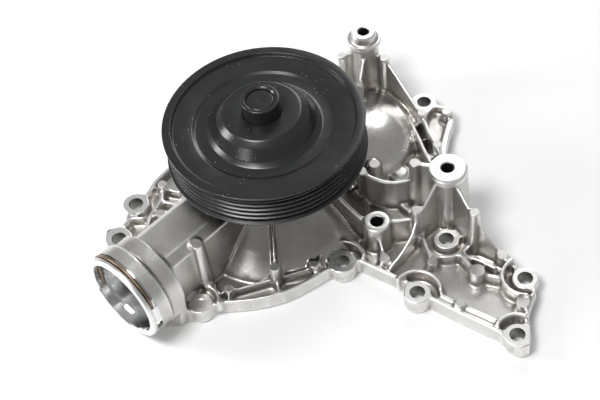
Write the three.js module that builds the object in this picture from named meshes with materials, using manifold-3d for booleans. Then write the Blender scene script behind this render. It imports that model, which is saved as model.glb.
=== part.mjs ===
// Engine coolant pump: die-cast housing, integral shaft bearing, face seal, impeller and belt pulley.
// Millimetres. While it is built, the shaft axis is Z at x = y = 0 and the engine flange face is Z = 0,
// with the pulley up. At the end the whole group moves so that its origin is the centre of its base.
import * as THREE from 'three';
import { mergeVertices } from 'three/addons/utils/BufferGeometryUtils.js';
import Module from 'manifold-3d';

const wasm = await Module();
wasm.setup();

// ---- driving dimensions ----
const fitGap = 0.15;          // radial gap left between pieces that are pressed together
const faceGap = 0.3;          // gap left between faces that rest on each other
const overcut = 2;            // how far a cutting solid runs past the face that it opens
const degree = Math.PI / 180;
const fine = 28;              // sides of a large round
const medium = 18;            // sides of a boss
const coarse = 10;            // sides of a pin
const holeSides = 14;         // sides of a screw hole
const sharpTurn = 24 * degree;  // a wall that turns by more than this gets a round post

const flange = { floor: 5, rim: 11, seat: 10.5, wallWidth: 2.6, sink: 1 };
const bolt = { hole: 9, ring: 17, wall: 2.4, wallTop: 13.5 };
const shaft = { diameter: 15.9, top: 104.8, tailDiameter: 12, bottom: 2.6, chamfer: 0.8 };
const bearing = { bottom: 38, length: 39, diameter: 30, bore: 25.2, sealDepth: 2.2, sealInset: 0.5 };
const balls = { count: 8, diameter: 5.6, rowRise: 11.5, gap: 0.12 };
const rollers = { count: 10, length: 8, rowDrop: 11, gap: 0.12 };
const cage = { thickness: 2, rim: 1.1, pocketGap: 0.15 };
const hub = { diameter: 42, collar: 56, collarTop: 42, baseDiameter: 92, topDiameter: 110, wall: 4 };
const chamber = { diameter: 76, top: 18, eye: 46, throatTop: 29.5 };
const impeller = { diameter: 68, plate: 2.2, bottom: 3, bladeTop: 15.6, bladeCount: 7, bladeWall: 2.2,
  bladeSteps: 5, hubDiameter: 20, sweep: 62 * degree };
const insert = { wall: 2.1, rise: 0.4, drop: 0.4 };
const seal = { cupDiameter: 33, cupFlange: 37, cupWall: 0.8, seatDiameter: 25, seatHeight: 4,
  ringDiameter: 22,
  ringHeight: 3, springWire: 1.1, springTurns: 3.5 };
const pulley = { diameter: 117, top: 88, bottom: 65, ridgeRadius: 57.2, groovePitch: 3.56, grooveDepth: 3,
  grooveCount: 6, firstGroove: 2.62, grooveFlat: 0.7, sheet: 2.6, lipInner: 53.5, discRadius: 50,
  discTop: 86, dishRadius: 40, dishTop: 84, domeFoot: 31.5, domeShoulder: 24.5, domeTop: 96 };
const pulleyHub = { diameter: 22.4, top: 106, footDiameter: 27, footHeight: 3 };
const neck = { heading: 39.5 * degree, offset: 8.6, axisHeight: 29, front: 115.8, rimDiameter: 55.6,
  bore: 47.4, boreDepth: 22, passage: 29, rimWidth: 2.6, grooveWidth: 3.8, grooveDepth: 2.2, barrelEnd: 102,
  bodyDiameter: 51.6, bodyFoot: 46.6, footCorner: 7, bodyEnd: 89.4, inner: 16 };
// Lead-in pocket in the neck's mouth: how far round it reaches, in degrees.
const relief = { radius: 26.8, depth: 7, from: 268, to: 334 };
const duct = { top: 48.5, bandHalf: 11, shoulderHalf: 16.8, shoulderTop: 44, footHalf: 17.4 };
const clip = { wire: 2.2, legReach: 21, legInset: 2, windowGap: 0.5 };
const weep = { hole: 5, height: 36.2, plugLength: 7, plugHead: 8.4, heading: -62 * degree };

// ---- shape helpers ----
function solid(geometry) {
  const bare = geometry.index ? geometry.toNonIndexed() : geometry.clone();
  bare.deleteAttribute('normal');
  bare.deleteAttribute('uv');
  const merged = mergeVertices(bare, 1e-4);
  const at = merged.attributes.position;
  const corners = merged.index.array;
  const kept = [];
  let volume = 0;
  const p = [new THREE.Vector3(), new THREE.Vector3(), new THREE.Vector3()];
  for (let i = 0; i < corners.length; i += 3) {
    const [a, b, c] = [corners[i], corners[i + 1], corners[i + 2]];
    if (a === b || b === c || c === a) continue;
    kept.push(a, b, c);
    [a, b, c].forEach((corner, k) => p[k].fromBufferAttribute(at, corner));
    volume += p[0].dot(p[1].clone().cross(p[2]));
  }
  if (volume < 0) {
    for (let i = 0; i < kept.length; i += 3) [kept[i], kept[i + 1]] = [kept[i + 1], kept[i]];
  }
  return new wasm.Manifold(new wasm.Mesh({
    numProp: 3,
    vertProperties: new Float32Array(at.array),
    triVerts: new Uint32Array(kept),
  }));
}

function join(pieces) {
  let list = pieces.slice();
  while (list.length > 1) {
    const next = [];
    for (let i = 0; i < list.length; i += 2) {
      next.push(i + 1 < list.length ? list[i].add(list[i + 1]) : list[i]);
    }
    list = next;
  }
  return list[0];
}

// A closed profile of [radius, height] pairs turned about Z.
function turned(profile, sides = fine) {
  const points = profile.map(([radius, height]) => new THREE.Vector2(radius, height));
  const onAxis = profile[0][0] === 0 && profile[profile.length - 1][0] === 0;
  if (!onAxis) points.push(points[0].clone());
  return solid(new THREE.LatheGeometry(points, sides).rotateX(Math.PI / 2));
}

function disc(x, y, bottom, top, bottomRadius, topRadius = bottomRadius, sides = medium) {
  const geometry = new THREE.CylinderGeometry(topRadius, bottomRadius, top - bottom, sides);
  geometry.rotateX(Math.PI / 2).translate(x, y, (bottom + top) / 2);
  return solid(geometry);
}

function prism(shape, bottom, top, curveSegments = 8) {
  const geometry = new THREE.ExtrudeGeometry(shape, { depth: top - bottom, bevelEnabled: false,
    curveSegments });
  return solid(geometry.translate(0, 0, bottom));
}

function outlineShape(points) {
  return new THREE.Shape(points.map(([x, y]) => new THREE.Vector2(x, y)));
}

// A wall between two points, thicker at its foot, whose top runs from one height to another.
function wall(a, b, bottom, topA, topB, width, draft = 0.035) {
  const geometry = new THREE.BoxGeometry(1, 1, 1);
  const at = geometry.attributes.position;
  const along = new THREE.Vector2(b[0] - a[0], b[1] - a[1]);
  const side = new THREE.Vector2(-along.y, along.x).normalize();
  for (let i = 0; i < at.count; i += 1) {
    const t = at.getX(i) + 0.5;
    const top = topA + (topB - topA) * t;
    const raised = at.getZ(i) > 0;
    const half = width / 2 + (raised ? 0 : (top - bottom) * draft);
    const across = Math.sign(at.getY(i)) * half;
    at.setXYZ(i, a[0] + along.x * t + side.x * across, a[1] + along.y * t + side.y * across,
      raised ? top : bottom);
  }
  return solid(geometry);
}

// The angle by which a path turns at a point: positive to the left.
function turnAt(before, at, after) {
  const first = Math.atan2(at[1] - before[1], at[0] - before[0]);
  const second = Math.atan2(after[1] - at[1], after[0] - at[0]);
  return Math.atan2(Math.sin(second - first), Math.cos(second - first));
}

// A wall along a row of points, with a round post where it turns sharply.
function wallAlong(points, bottom, tops, width, draft = 0.035) {
  const pieces = [];
  const [first, last] = Array.isArray(tops) ? tops : [tops, tops];
  const topAt = (i) => first + ((last - first) * i) / (points.length - 1);
  points.forEach((point, i) => {
    if (i > 0) pieces.push(wall(points[i - 1], point, bottom, topAt(i - 1), topAt(i), width, draft));
    const inner = i > 0 && i < points.length - 1;
    if (inner && Math.abs(turnAt(points[i - 1], point, points[i + 1])) > sharpTurn) {
      const half = width / 2;
      pieces.push(disc(point[0], point[1], bottom, topAt(i) - 0.02, half + (topAt(i) - bottom) * draft,
        half, 8));
    }
  });
  return join(pieces);
}

function arcPoints(x, y, radius, from, to, count) {
  return Array.from({ length: count + 1 }, (_, i) => {
    const angle = (from + ((to - from) * i) / count) * degree;
    return [x + radius * Math.cos(angle), y + radius * Math.sin(angle)];
  });
}

// A closed outline of one width on both sides of a path.
function bandOutline(path, width) {
  const sides = [[], []];
  path.forEach((point, i) => {
    const before = path[Math.max(i - 1, 0)];
    const after = path[Math.min(i + 1, path.length - 1)];
    const along = new THREE.Vector2(after[0] - before[0], after[1] - before[1]).normalize();
    sides[0].push([point[0] - along.y * (width / 2), point[1] + along.x * (width / 2)]);
    sides[1].unshift([point[0] + along.y * (width / 2), point[1] - along.x * (width / 2)]);
  });
  return [...sides[0], ...sides[1]];
}

function bandWall(path, bottom, top, width) {
  return prism(outlineShape(bandOutline(path, width)), bottom, top);
}

function curvePoints(points, count) {
  const curve = new THREE.CatmullRomCurve3(points.map(([x, y]) => new THREE.Vector3(x, y, 0)));
  return curve.getPoints(count).map((p) => [p.x, p.y]);
}

const group = new THREE.Group();
const finishes = {
  castAluminium: new THREE.MeshStandardMaterial({ color: 0xb9b5ad, roughness: 0.42, metalness: 1 }),
  blackCoat: new THREE.MeshStandardMaterial({ color: 0x0b0c0c, roughness: 0.28, metalness: 0.1 }),
  bearingSteel: new THREE.MeshStandardMaterial({ color: 0xc9cbcd, roughness: 0.2, metalness: 1 }),
  springSteel: new THREE.MeshStandardMaterial({ color: 0x8a6a48, roughness: 0.35, metalness: 1 }),
  blackRubber: new THREE.MeshStandardMaterial({ color: 0x141414, roughness: 0.75, metalness: 0 }),
  carbon: new THREE.MeshStandardMaterial({ color: 0x242526, roughness: 0.5, metalness: 0 }),
  ceramic: new THREE.MeshStandardMaterial({ color: 0x55534f, roughness: 0.3, metalness: 0 }),
  brass: new THREE.MeshStandardMaterial({ color: 0xb08d45, roughness: 0.35, metalness: 1 }),
  mouldedPlastic: new THREE.MeshStandardMaterial({ color: 0x1d1d1f, roughness: 0.6, metalness: 0 }),
  cageNylon: new THREE.MeshStandardMaterial({ color: 0xd9d2bd, roughness: 0.6, metalness: 0 }),
};

function addNode(name, body, material) {
  const { vertProperties, triVerts, numProp } = body.getMesh();
  const geometry = new THREE.BufferGeometry();
  const count = vertProperties.length / numProp;
  const position = new Float32Array(count * 3);
  for (let i = 0; i < count; i += 1) {
    for (let k = 0; k < 3; k += 1) position[i * 3 + k] = vertProperties[i * numProp + k];
  }
  geometry.setAttribute('position', new THREE.BufferAttribute(position, 3));
  geometry.setIndex(new THREE.BufferAttribute(new Uint32Array(triVerts), 1));
  geometry.computeVertexNormals();
  const mesh = new THREE.Mesh(geometry, material);
  mesh.name = name;
  group.add(mesh);
}

// ---- neck frame: u runs across the neck, the neck's mouth is at distance neck.front from the shaft ----
const inward = [Math.cos(neck.heading), Math.sin(neck.heading)];
const across = [-inward[1], inward[0]];
function neckSpot(distance, offset) {
  return [across[0] * offset - inward[0] * distance, across[1] * offset - inward[1] * distance];
}
// Turns a solid made about Z, with Z = distance from the shaft, so that it lies along the neck's axis.
function onNeck(geometry, height = neck.axisHeight) {
  const [x, y] = neckSpot(0, neck.offset);
  const basis = new THREE.Matrix4().makeBasis(
    new THREE.Vector3(0, 0, 1),
    new THREE.Vector3(across[0], across[1], 0),
    new THREE.Vector3(-inward[0], -inward[1], 0),
  );
  return geometry.applyMatrix4(basis.setPosition(x, y, height));
}
function neckRound(from, to, radius, sides = fine, endRadius = radius) {
  const geometry = new THREE.CylinderGeometry(endRadius, radius, to - from, sides);
  return solid(onNeck(geometry.rotateX(Math.PI / 2).translate(0, 0, (from + to) / 2)));
}
// A section drawn in (across, height), run along the neck between two distances from the shaft.
function neckSection(points, from, to) {
  const shape = new THREE.Shape(points.map(([u, z]) => new THREE.Vector2(u, z)));
  const geometry = new THREE.ExtrudeGeometry(shape, { depth: to - from, bevelEnabled: false });
  const [x, y] = neckSpot(to, neck.offset);
  const basis = new THREE.Matrix4().makeBasis(
    new THREE.Vector3(across[0], across[1], 0),
    new THREE.Vector3(0, 0, 1),
    new THREE.Vector3(inward[0], inward[1], 0),
  );
  return solid(geometry.applyMatrix4(basis.setPosition(x, y, 0)));
}

// ---- housing ----
// Bolt seats: where each is, which way its clearance wall faces and how far round it reaches.
const boltSeats = [
  { x: -86.4, y: 17.4 },
  { x: -97.8, y: -7.9 },
  { x: 33.5, y: -49.2, wallRadius: 13.6, from: 0, to: 190 },
  { x: 73.4, y: -78.8, ring: 16.4, wallRadius: 13.6, from: -12, to: 142 },
  { x: 123.7, y: -117.1, ring: 15.6, wallRadius: 12.4, from: 52, to: 142 },
  { x: 136.0, y: -79.8, ring: 15.8, wallRadius: 13.4, from: 108, to: 266 },
  { x: 101.6, y: 67.3, ring: 16.6 },
  { x: 96.5, y: -43.6, ring: 15.7, wallRadius: 14.2, from: 150, to: 345, inside: true },
  { x: -40, y: 62 },
  { x: 22, y: 79 },
];
const blindSeat = { x: -51.6, y: -64.5, ring: 14.5, dimple: 6.6, dimpleDepth: 1, wallRadius: 11,
  from: -22, to: 72 };

// Cast ejector pins: place, height of the top, diameter at the top.
const pins = [
  { x: -47.5, y: -50, top: 48, d: 7.4 }, { x: -68.8, y: 26, top: 16, d: 6.2 },
  { x: -71.2, y: 3.2, top: 16, d: 6.2 },
  { x: 58.3, y: -52.9, top: 13, d: 6.7 }, { x: 80.7, y: -35.4, top: 32, d: 6.7 },
  { x: 112, y: -51, top: 41.5, d: 6.5 },
  { x: 126, y: -63, top: 14, d: 7 }, { x: 85.4, y: -60, top: 12.5, d: 6.5 },
  { x: 109.5, y: -72.5, top: 15, d: 9.3 },
  { x: 130.9, y: -96.7, top: 12, d: 7.8 }, { x: 96.2, y: -91.9, top: 13, d: 6.2 },
  { x: -34.4, y: -59.2, top: 14, d: 6 },
  { x: -6, y: -54.6, top: 22, d: 6.6 }, { x: 16.7, y: -50.9, top: 14.5, d: 5.7 },
  { x: 84.2, y: -9, top: 43, d: 7 },
  { x: 53, y: 1.4, top: 30, d: 7 }, { x: 62.4, y: 14, top: 20, d: 7.5 }, { x: 53.5, y: 91.4, top: 39, d: 6 },
  { x: 79.7, y: 81, top: 42, d: 6.7 }, { x: 61.3, y: 67.7, top: 35, d: 5.5 },
  { x: 97, y: 44.8, top: 26, d: 6.2 },
  { x: 101.9, y: 17.4, top: 26, d: 6.2 }, { x: 113.8, y: 53.6, top: 14, d: 6.5 },
];
const pinDraft = 0.022;

// Tall accessory bosses: turned profiles of [radius, height] from the flange floor up, and the screw hole.
const towers = [
  { x: 68.5, y: 91.7, top: 56.4, hole: 7, profile: [[9.8, 0], [8.9, 45.5], [10.9, 47.2], [10.9, 49.8],
    [10.2, 50.8], [8.1, 51.2], [7.6, 55.4], [6.4, 56.4]] },
  { x: 101, y: -25, top: 53, hole: 7.5, profile: [[8.4, 0], [6.8, 44], [9, 45.5], [11, 47.5], [11, 50.6],
    [10.2, 51.2], [10.2, 53]] },
  { x: 57, y: -34.5, top: 25, hole: 7.8, chamfer: 0.9, profile: [[8.9, 0], [8, 25]] },
];

function edgeOutline() {
  const front = curvePoints([[-42, -66.6], [-27.1, -68.1], [-14.3, -68], [-1.2, -66], [12.3, -60.5],
    [26, -53.4]], 7);
  const lowerRight = [[44, -51.6], [66.8, -70.5], [80.6, -85.6], [94.2, -97.9], [113.2, -113.5],
    [120.6, -124.9], [124.1, -126.7], [129.2, -125.6], [131.5, -115], [132.7, -105.3], [136.2, -97.9],
    [140.6, -90]];
  const right = [[132.2, -68.1], [130.2, -61.2], [124.6, -55.4], [116, -45], [111.5, -33], [110, -18],
    [107, -5], [106, 8], [108.1, 21.8], [112.5, 35.5], [116.8, 45.1], [118.5, 54.5], [116.7, 59.3]];
  const back = [[93.6, 72.2], [83, 88], [76, 96], [60, 97], [50, 96], [36, 84], [30, 84], [0, 74], [-24, 68],
    [-46, 66.5], [-64.5, 43.9], [-74.7, 33.5]];
  const left = [[-79, 26], [-93, 8], [-93.1, 4], [-96.4, 1.2], [-105.4, 0.4], [-106.3, -7.9], [-104, -16.5],
    [-99, -25], [-88, -34], [-68, -60]];
  return [...front, ...lowerRight, ...right, ...back, ...left, [-60, -70], [-46.5, -69]];
}

function flangeBody() {
  const outline = edgeOutline();
  const foot = flange.floor - flange.sink;
  const tall = prism(outlineShape(outline), 0, flange.rim);
  const edge = join(outline.map((point, i) => {
    const next = outline[(i + 1) % outline.length];
    const before = outline[(i + outline.length - 1) % outline.length];
    const length = Math.hypot(next[0] - point[0], next[1] - point[1]);
    const past = [0, 1].map((k) => ((next[k] - point[k]) * flange.wallWidth * 0.3) / length);
    const start = [point[0] - past[0], point[1] - past[1]];
    const end = [next[0] + past[0], next[1] + past[1]];
    const strip = wall(start, end, foot, flange.rim, flange.rim, flange.wallWidth * 2, 0);
    if (turnAt(before, point, next) > -sharpTurn) return strip;
    return strip.add(disc(point[0], point[1], foot, flange.rim, flange.wallWidth, flange.wallWidth, 8));
  }));
  const seats = boltSeats.map((seat) => disc(seat.x, seat.y, 0, flange.seat, (seat.ring ?? bolt.ring) / 2));
  const blind = disc(blindSeat.x, blindSeat.y, 0, flange.seat, blindSeat.ring / 2);
  const dimple = disc(blindSeat.x, blindSeat.y, flange.seat - blindSeat.dimpleDepth, flange.seat + overcut,
    blindSeat.dimple / 2);
  return join([
    prism(outlineShape(outline), 0, flange.floor),
    tall.intersect(edge),
    ...seats,
    blind,
  ]).subtract(dimple);
}

function clearanceWalls() {
  const arcs = [...boltSeats.filter((seat) => seat.wallRadius), blindSeat];
  return join(arcs.map((seat) => {
    const steps = Math.ceil((seat.to - seat.from) / 18);
    const points = arcPoints(seat.x, seat.y, seat.wallRadius, seat.from, seat.to, steps);
    return bandWall(points, flange.floor - flange.sink, seat.inside ? flange.rim + 1 : bolt.wallTop,
      bolt.wall);
  }));
}

function pinSolids() {
  const bottom = flange.floor - flange.sink;
  return join(pins.map(({ x, y, top, d }) => {
    const footRadius = d / 2 + (top - bottom) * pinDraft;
    return disc(x, y, bottom, top, footRadius, d / 2, coarse);
  }));
}

function towerSolids() {
  const bottom = flange.floor - flange.sink;
  return join(towers.map(({ x, y, top, profile }) => {
    const skin = profile.map(([radius, height]) => [radius, Math.max(height, bottom)]);
    return turned([[0, bottom], ...skin, [0, top]], medium).translate([x, y, 0]);
  }));
}

function ribSolids() {
  const low = flange.floor - flange.sink;
  const thin = 2;
  const middle = 2.6;
  return join([
    // ribs of the front edge
    bandWall([[-33, -59], [-6, -54.6], [16.7, -50.9]], low, flange.rim, thin),
    wall([-3, -22], [-6, -54.6], low, 40, 20, thin),
    wall([-6, -54.6], [-5.5, -66], low, flange.rim, flange.rim, thin),
    wallAlong([[1, -20], [1, -36], [-3, -54]], low, [26, flange.rim], middle),
    wall([-47, -50], [-42, -56], low, 14, 13, thin),
    // accessory boss at the front
    wallAlong([[30, -14], [40, -23], [50, -30.5]], low, [43, 23], middle),
    wall([57, -40], [58.3, -52.9], low, 21, 12.5, thin),
    wall([62, -34.6], [80.7, -35.4], low, 23.5, 24.5, middle),
    wallAlong([[80, -38], [76, -45], [69, -52.5], [60, -59.5]], low, [25, 11], thin),
    // tall boss on the right
    wall([96, -26], [82, -37], low, 48, 29, thin),
    wall([102, -26], [111.5, -50], low, 50, 37, middle),
    wall([112, -51], [126, -63], low, 38, 13, thin),
    disc(103.8, -19.5, low, 46, 11.2, 10.2),
    wallAlong([[101, -25], [93, -13], [84.2, -9]], low, [44, 43], middle),
    bandWall(curvePoints([[84.2, -9], [76, -10.5], [68, -9.5], [60, -5], [53, 1.4]], 14), low, 29, middle),
    bandWall(curvePoints([[49, 0.2], [60, 0.5], [69, -2.7], [75, -11.8], [80, -19]], 10), low, 9.5, 4),
    disc(78, 13.5, low, 8.5, 7.2, 6.8),
    disc(78, 13.5, low, 9.5, 4.2, 4),
    wall([104, -17], [101.9, 17.4], low, 20, 25, thin),
    // tall boss at the back
    wall([67, 84], [61.3, 67.7], low, 42, 34, thin),
    wall([72, 88], [79.7, 81], low, 42, 40, middle),
    wall([62, 91.5], [53.5, 91.4], low, 42, 37, middle),
    wallAlong([[79.7, 81], [97, 44.8]], low, [41, 24], thin),
    bandWall([[97, 44.8], [98.6, 31], [101.9, 17.4]], low, 23.5, middle),
    bandWall(curvePoints([[80, 76], [85, 68], [88, 52], [91, 41], [95.6, 15.4], [98.5, 4]], 12), low, 17,
      middle),
    bandWall([[97, 46], [101, 56], [104, 60]], low, flange.rim, thin),
    bandWall([[101.9, 17.4], [108, 33], [114, 48]], low, flange.rim, thin),
    // lower right pockets
    wall([102, -57], [109.5, -72.5], low, 12.5, 12.5, middle),
    wall([109.5, -72.5], [121.5, -78], low, 12.5, 12.5, middle),
    bandWall([[104, -57.5], [112, -63], [121, -71]], low, 12, thin),
    bandWall([[86, -83], [96.2, -91.9], [113.5, -105.5]], low, 11.5, middle),
    wall([83, -42], [85.4, -60], low, 14, 12, thin),
    // left pockets
    bandWall(curvePoints([[-70, 29], [-69.5, 18], [-74, 10], [-79, 2], [-80.5, -9], [-81, -18]],
      7), low, 13, middle),
    bandWall([[-71, 15.5], [-64, 12.5], [-56, 6]], low, 12.5, middle),
    bandWall([[-68.8, 26], [-58, 21]], low, 11.5, thin),
    bandWall([[-96, 0], [-90, 6], [-82, 5]], low, 11.5, thin),
  ]);
}

// Inside shape of the casting in front of the impeller, then the bearing hub above it.
function hubShell() {
  return turned([
    [0, flange.floor - flange.sink], [hub.topDiameter / 2, flange.floor - flange.sink],
    [hub.topDiameter / 2, flange.floor + 1.5], [hub.baseDiameter / 2 - 3, chamber.top + 2],
    [hub.collar / 2 + 3, chamber.throatTop + 2], [hub.collar / 2, hub.collarTop],
    [hub.diameter / 2 + 0.8, 56],
    [hub.diameter / 2, bearing.bottom + bearing.length + 0.5], [0, bearing.bottom + bearing.length + 0.5],
  ]);
}

// The outlet dome at the back right: a flattened ellipsoid and its hollow underside.
const dome = { x: 58.5, y: 48, z: 6, length: 39, width: 36.5, rise: 18, turn: 66 * degree,
  mouth: [[42, 28], [58, 26], [72, 44], [68, 62], [56, 70], [38, 62]] };
function domeSolid(inset) {
  const geometry = new THREE.SphereGeometry(1, 18, 10);
  geometry.scale(dome.length - inset, dome.width - inset, dome.rise - inset);
  geometry.rotateZ(dome.turn).translate(dome.x, dome.y, dome.z);
  return solid(geometry);
}

function ductSolids() {
  const foot = flange.floor - flange.sink;
  const arch = [];
  const bodyRadius = neck.bodyDiameter / 2;
  const bodyFoot = neck.bodyFoot / 2;
  for (let i = 0; i <= 14; i += 1) {
    const angle = (i / 14) * Math.PI;
    arch.push([bodyRadius * Math.cos(angle), neck.axisHeight + bodyRadius * Math.sin(angle)]);
  }
  const body = neckSection([...arch, [-bodyFoot, 0], [bodyFoot, 0]], neck.bodyEnd, neck.barrelEnd);
  const wide = neck.rimDiameter;
  const cornerStart = neck.barrelEnd - neck.footCorner;
  const halfPlan = [[neck.barrelEnd, bodyFoot - neck.footCorner], [cornerStart, bodyFoot],
    [cornerStart, wide],
    [neck.bodyEnd - 5, wide]];
  const plan = [...halfPlan.map(([distance, u]) => [distance, -u]), ...halfPlan.slice().reverse()];
  const footTop = neck.axisHeight / 2;
  const footPlan = prism(outlineShape(plan.map(([distance, u]) => neckSpot(distance, neck.offset + u))),
    -overcut,
    footTop).add(disc(...neckSpot(neck.front, neck.offset), footTop - 0.1, neck.axisHeight * 3,
      wide * 1.5, wide * 1.5, 8));
  const section = [[duct.footHalf, foot], [duct.shoulderHalf, duct.shoulderTop], [duct.bandHalf, duct.top]];
  section.push(...section.map(([u, z]) => [-u, z]).reverse());
  const rimRadius = neck.rimDiameter / 2;
  const grooveEnd = neck.front - neck.rimWidth;
  const grooveStart = grooveEnd - neck.grooveWidth;
  return join([
    neckSection(section, neck.inner, neck.bodyEnd + 1),
    body.intersect(footPlan),
    neckRound(neck.barrelEnd - 1, neck.front, rimRadius),
  ]).subtract(
    neckRound(grooveStart, grooveEnd, rimRadius + overcut).subtract(
      neckRound(grooveStart - overcut, grooveEnd + overcut, rimRadius - neck.grooveDepth),
    ).intersect(neckSection([[-40, neck.axisHeight - 9], [40, neck.axisHeight - 9], [40, 80], [-40, 80]],
      grooveStart - overcut, grooveEnd + overcut)),
  );
}

function weepDirection(distance) {
  return [Math.cos(weep.heading) * distance, Math.sin(weep.heading) * distance];
}
function weepRound(from, to, radius) {
  const geometry = new THREE.CylinderGeometry(radius, radius, to - from, coarse);
  const [x, y] = weepDirection((from + to) / 2);
  return solid(geometry.rotateZ(-Math.PI / 2).rotateZ(weep.heading).translate(x, y, weep.height));
}

const bearingRadius = bearing.diameter / 2;
const cupRadius = seal.cupDiameter / 2;
function housingCuts() {
  const bearingTop = bearing.bottom + bearing.length;
  const ledge = 2;
  const cupBore = cupRadius + fitGap;
  const bearingBore = bearingRadius + fitGap;
  const bore = turned([
    [0, chamber.throatTop - 1], [cupBore, chamber.throatTop - 1], [cupBore, bearing.bottom - ledge],
    [bearingRadius - ledge, bearing.bottom - ledge], [bearingRadius - ledge, bearing.bottom - faceGap],
    [bearingBore, bearing.bottom - faceGap], [bearingBore, bearingTop + overcut], [0, bearingTop + overcut],
  ]);
  const wet = turned([
    [0, -overcut], [chamber.diameter / 2, -overcut], [chamber.diameter / 2, chamber.top - 3],
    [chamber.diameter / 2 - 3, chamber.top], [chamber.eye / 2 + 1.5, chamber.top],
    [chamber.eye / 2, chamber.top + 1.5],
    [chamber.eye / 2, chamber.throatTop], [0, chamber.throatTop],
  ]);
  const keepHub = turned([[0, chamber.throatTop], [cupRadius + hub.wall, chamber.throatTop],
    [cupRadius + hub.wall, 90], [0, 90]]);
  const passage = neckRound(10, neck.front - neck.boreDepth + 1, neck.passage / 2).subtract(keepHub);
  const outlet = domeSolid(hub.wall).intersect(
    disc(dome.x, dome.y, -overcut, 60, dome.length + 10, dome.length + 10, 12));
  const outletMouth = prism(outlineShape(dome.mouth), -overcut, dome.z + 2);
  const drilled = (x, y, top, diameter) => disc(x, y, -overcut, top, diameter / 2, diameter / 2, holeSides);
  const holes = boltSeats.map(({ x, y }) => drilled(x, y, flange.rim + overcut, bolt.hole));
  const spotFaces = boltSeats.map(({ x, y, ring }) => disc(x, y, flange.seat, bolt.wallTop + overcut,
    (ring ?? bolt.ring) / 2));
  const screws = towers.map(({ x, y, top, hole }) => drilled(x, y, top + overcut, hole));
  const chamfers = towers.filter((tower) => tower.chamfer).map(({ x, y, top, hole, chamfer }) =>
    disc(x, y, top - chamfer, top + 0.01, hole / 2, hole / 2 + chamfer, holeSides));
  return join([
    bore, wet, passage, outlet, outletMouth, mouthRelief(), ...holes, ...spotFaces, ...screws, ...chamfers,
    neckRound(neck.front - neck.boreDepth, neck.front + overcut, neck.bore / 2),
    weepRound(bearingRadius - 3, hub.diameter, weep.hole / 2),
    ...clipWindows(),
  ]);
}

// The pocket in the neck's mouth that leads the hose coupling's lug in.
function mouthRelief() {
  const round = neckRound(neck.front - relief.depth, neck.front + overcut, relief.radius);
  const sector = arcPoints(0, neck.axisHeight, neck.rimDiameter, relief.from, relief.to, 4);
  return round.intersect(neckSection([[0, neck.axisHeight], ...sector], neck.front - neck.boreDepth,
    neck.front + overcut));
}

// ---- hose clip: a bent wire whose two straight legs cross the neck's wall ----
const grooveMiddle = neck.front - neck.rimWidth - neck.grooveWidth / 2;
const clipRadius = neck.rimDiameter / 2 - neck.grooveDepth + clip.wire / 2 + faceGap;
const legOffset = neck.bore / 2 - clip.legInset + clip.wire / 2;
function clipWindows() {
  const half = clip.wire / 2 + clip.windowGap;
  const low = neck.axisHeight - clip.legReach / 2 - clip.windowGap * 3;
  const high = neck.axisHeight + Math.sqrt(clipRadius ** 2 - legOffset ** 2) + clip.wire * 2;
  return [-1, 1].map((side) => neckSection([
    [side * legOffset - half, low], [side * legOffset + half, low],
    [side * legOffset + half, high], [side * legOffset - half, high],
  ], grooveMiddle - half, grooveMiddle + half));
}
function clipSolid() {
  const bend = Math.acos(legOffset / clipRadius);
  const spot = (u, z) => {
    const [x, y] = neckSpot(grooveMiddle, neck.offset + u);
    return new THREE.Vector3(x, y, neck.axisHeight + z);
  };
  const points = [spot(legOffset, -clip.legReach / 2), spot(legOffset, 0)];
  for (let i = 0; i <= 12; i += 1) {
    const angle = bend + ((Math.PI - 2 * bend) * i) / 12;
    points.push(spot(clipRadius * Math.cos(angle), clipRadius * Math.sin(angle)));
  }
  points.push(spot(-legOffset, 0), spot(-legOffset, -clip.legReach / 2));
  const section = new THREE.Shape().absarc(0, 0, clip.wire / 2, 0, Math.PI * 2);
  const curve = new THREE.CatmullRomCurve3(points, false, 'centripetal');
  return solid(new THREE.ExtrudeGeometry(section, {
    steps: 30, bevelEnabled: false, curveSegments: 4, extrudePath: curve,
  }));
}

// ---- bearing ----
const shaftRadius = shaft.diameter / 2;
const raceRadius = bearing.bore / 2;
const pitchRadius = (shaftRadius + raceRadius) / 2;
const ballHeight = bearing.bottom + balls.rowRise;
const rollerHeight = bearing.bottom + bearing.length - rollers.rowDrop;
const rollerRadius = (raceRadius - shaftRadius) / 2 - rollers.gap;

function ballGroove() {
  const torus = new THREE.TorusGeometry(pitchRadius, balls.diameter / 2 + balls.gap, 10, 28);
  return solid(torus.translate(0, 0, ballHeight));
}
function outerRing() {
  const top = bearing.bottom + bearing.length;
  return turned([[bearingRadius, bearing.bottom + 0.5], [bearingRadius, top - 0.5],
    [bearingRadius - 0.5, top],
    [raceRadius, top], [raceRadius, bearing.bottom], [bearingRadius - 0.5, bearing.bottom]],
    fine).subtract(ballGroove());
}
function bearingSeal(bottom) {
  const inner = shaftRadius + fitGap;
  const outer = raceRadius - fitGap;
  const top = bottom + bearing.sealDepth;
  return turned([[outer, bottom], [outer, top], [(inner + outer) / 2, top - 0.5], [inner, top - 0.2],
    [inner, bottom + 0.4]], fine);
}
function cageRing(height, halfLength, pockets) {
  const inner = pitchRadius - cage.thickness / 2;
  const outer = pitchRadius + cage.thickness / 2;
  const ring = turned([[outer, height - halfLength], [outer, height + halfLength],
    [inner, height + halfLength],
    [inner, height - halfLength]], 24);
  return ring.subtract(join(pockets));
}
function around(count, build) {
  return Array.from({ length: count }, (_, i) => {
    const angle = (i / count) * Math.PI * 2;
    return build(pitchRadius * Math.cos(angle), pitchRadius * Math.sin(angle));
  });
}
function ball(x, y, gap = 0) {
  return solid(new THREE.SphereGeometry(balls.diameter / 2 + gap, 10, 6).translate(x, y, ballHeight));
}
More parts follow.
